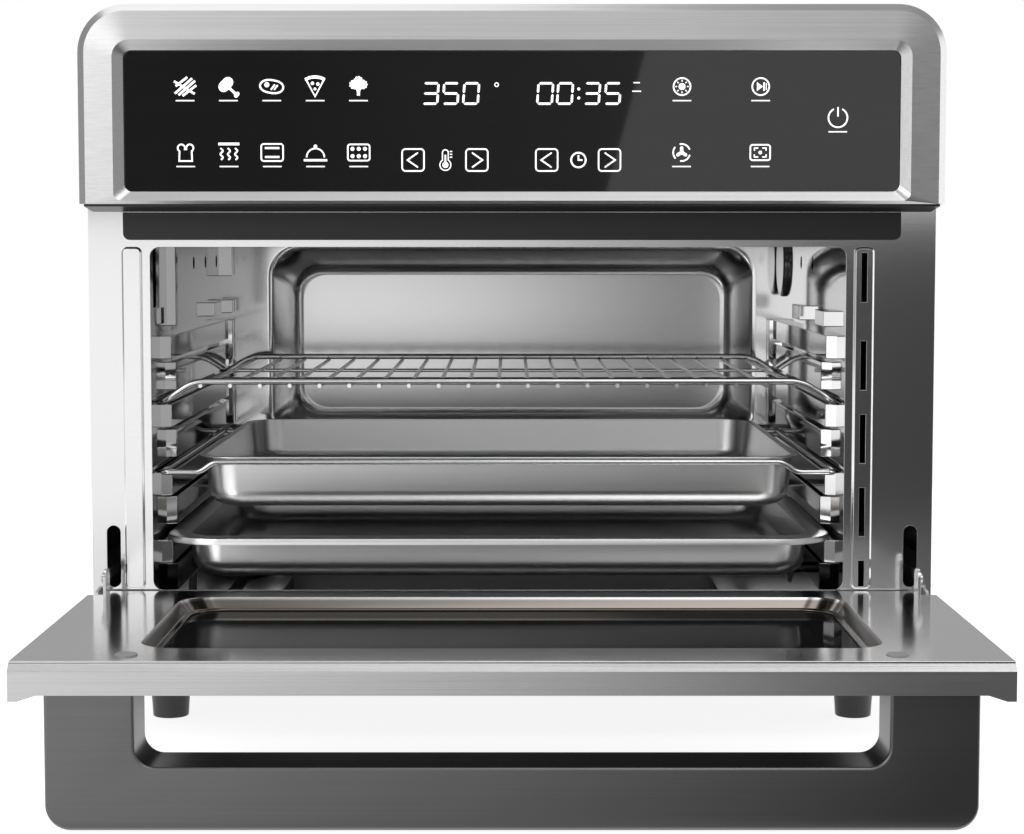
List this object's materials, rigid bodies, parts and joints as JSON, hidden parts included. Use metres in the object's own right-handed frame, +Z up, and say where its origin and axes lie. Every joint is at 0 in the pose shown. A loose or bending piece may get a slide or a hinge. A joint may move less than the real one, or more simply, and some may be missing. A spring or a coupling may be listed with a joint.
{
  "type": "toaster oven",
  "caption": "Countertop convection toaster oven with a drop-down glass door, touch control panel, sliding rack, roasting pan, baking tray, crumb tray and ceiling fan.",
  "frame": {"origin": "on the counter under the middle of the whole oven as it stands with its door open", "axes": "+X to the user's right when facing the oven, +Y from the door to the back, +Z up"},
  "size_m": [0.43, 0.5512, 0.3719],
  "materials": {
    "wrap_steel": "brushed lengthwise",
    "base_sheet": "dull dark paint",
    "screw_steel": "plated",
    "gland_rubber": "moulded black",
    "foot_rubber": "moulded grey",
    "front_steel": "smooth satin",
    "trim_black": "satin black",
    "bezel_steel": "brushed across the front",
    "control_glass": "black printed glass, gloss",
    "housing_plastic": "moulded black",
    "circuit_board": "solder mask",
    "display_plastic": "dark diffuser",
    "liner_polished": "mirror polished",
    "liner_satin": "satin",
    "element_sheath": "dull heat-darkened",
    "ceramic": "unglazed white",
    "zinc_steel": "zinc plated",
    "wire_chrome": "bright plated wire",
    "fan_aluminium": "mill finish",
    "pin_steel": "ground",
    "motor_iron": "lacquered laminations",
    "lamp_glass": "clear",
    "door_steel": "brushed lengthwise",
    "door_inner_steel": "satin",
    "door_glass": "smoked",
    "handle_steel": "dark satin",
    "bumper_rubber": "soft grey",
    "pan_steel": "fine satin",
    "crumb_steel": "satin",
    "hinge_steel": "plated",
    "spring_steel": "oiled"
  },
  "bodies": {
    "cabinet": {"outer_wrap": "wrap_steel", "base_pan": "base_sheet", "rear_panel": "base_sheet", "rear_screws": "screw_steel", "cord_gland": "gland_rubber", "feet": "foot_rubber", "front_frame": "front_steel", "upper_trim_strip": "trim_black", "control_bezel": "bezel_steel", "control_glass": "control_glass", "panel_skirt": "trim_black", "panel_housing": "housing_plastic", "control_board": "circuit_board", "display_module": "display_plastic", "cavity_left_wall": "liner_polished", "cavity_right_wall": "liner_polished", "cavity_back_wall": "liner_satin", "cavity_ceiling": "liner_satin", "cavity_floor": "liner_satin", "upper_element": "element_sheath", "lower_element": "element_sheath", "element_bushings": "ceramic", "element_clips": "zinc_steel", "fan_guard": "wire_chrome", "fan_motor": "motor_iron", "motor_bracket": "zinc_steel", "lamp_lens": "lamp_glass", "lamp_socket": "ceramic", "lamp_bulb": "lamp_glass", "thermostat_probe": "pin_steel", "power_board": "circuit_board", "hinge_bracket_left": "zinc_steel", "door_spring_left": "spring_steel", "hinge_bracket_right": "zinc_steel", "door_spring_right": "spring_steel"},
    "door": {"door_frame": "door_steel", "door_inner_panel": "door_inner_steel", "door_inner_glass": "door_glass", "door_outer_glass": "door_glass", "door_handle": "handle_steel", "handle_screws": "screw_steel", "door_bumpers": "bumper_rubber", "door_pivot_pins": "pin_steel", "hinge_tab_left": "hinge_steel", "hinge_tab_right": "hinge_steel"},
    "hinge_link_left": {"hinge_link_left": "hinge_steel"},
    "hinge_link_right": {"hinge_link_right": "hinge_steel"},
    "wire_rack": {"wire_rack": "wire_chrome"},
    "roast_pan": {"roast_pan": "pan_steel", "pan_carrier": "wire_chrome"},
    "baking_tray": {"baking_tray": "pan_steel"},
    "crumb_tray": {"crumb_tray": "crumb_steel"},
    "fan": {"convection_fan": "fan_aluminium", "fan_shaft": "pin_steel", "cooling_blade": "fan_aluminium"}
  },
  "joints": [
    {"name": "door_hinge", "type": "hinge", "parent": "cabinet", "child": "door", "pos_m": [0, -0.07845, 0.0716], "axis": [-1, 0, 0], "range_deg": [0, 90], "deforming": ["door_spring_left", "door_spring_right"]},
    {"name": "hinge_link_pivot_left", "type": "hinge", "parent": "door", "child": "hinge_link_left", "pos_m": [-0.2043, -0.09895, 0.0866], "axis": [-1, 0, 0], "range_deg": [-90, 0]},
    {"name": "hinge_link_pivot_right", "type": "hinge", "parent": "door", "child": "hinge_link_right", "pos_m": [0.2043, -0.09895, 0.0866], "axis": [-1, 0, 0], "range_deg": [-90, 0]},
    {"name": "rack_slide", "type": "slide", "parent": "cabinet", "child": "wire_rack", "axis": [0, -1, 0], "range_m": [0, 0.37]},
    {"name": "pan_slide", "type": "slide", "parent": "cabinet", "child": "roast_pan", "axis": [0, -1, 0], "range_m": [0, 0.37]},
    {"name": "tray_slide", "type": "slide", "parent": "cabinet", "child": "baking_tray", "axis": [0, -1, 0], "range_m": [0, 0.37]},
    {"name": "crumb_slide", "type": "slide", "parent": "cabinet", "child": "crumb_tray", "axis": [0, -1, 0], "range_m": [0, 0.31]},
    {"name": "fan_spin", "type": "hinge", "parent": "cabinet", "child": "fan", "pos_m": [-0.0071, 0.07355, 0.2722], "axis": [0, 0, 1], "continuous": true}
  ],
  "couplings": [
    {"joint": "hinge_link_pivot_left", "follows": "door_hinge", "ratio": -1},
    {"joint": "hinge_link_pivot_right", "follows": "door_hinge", "ratio": -1}
  ]
}
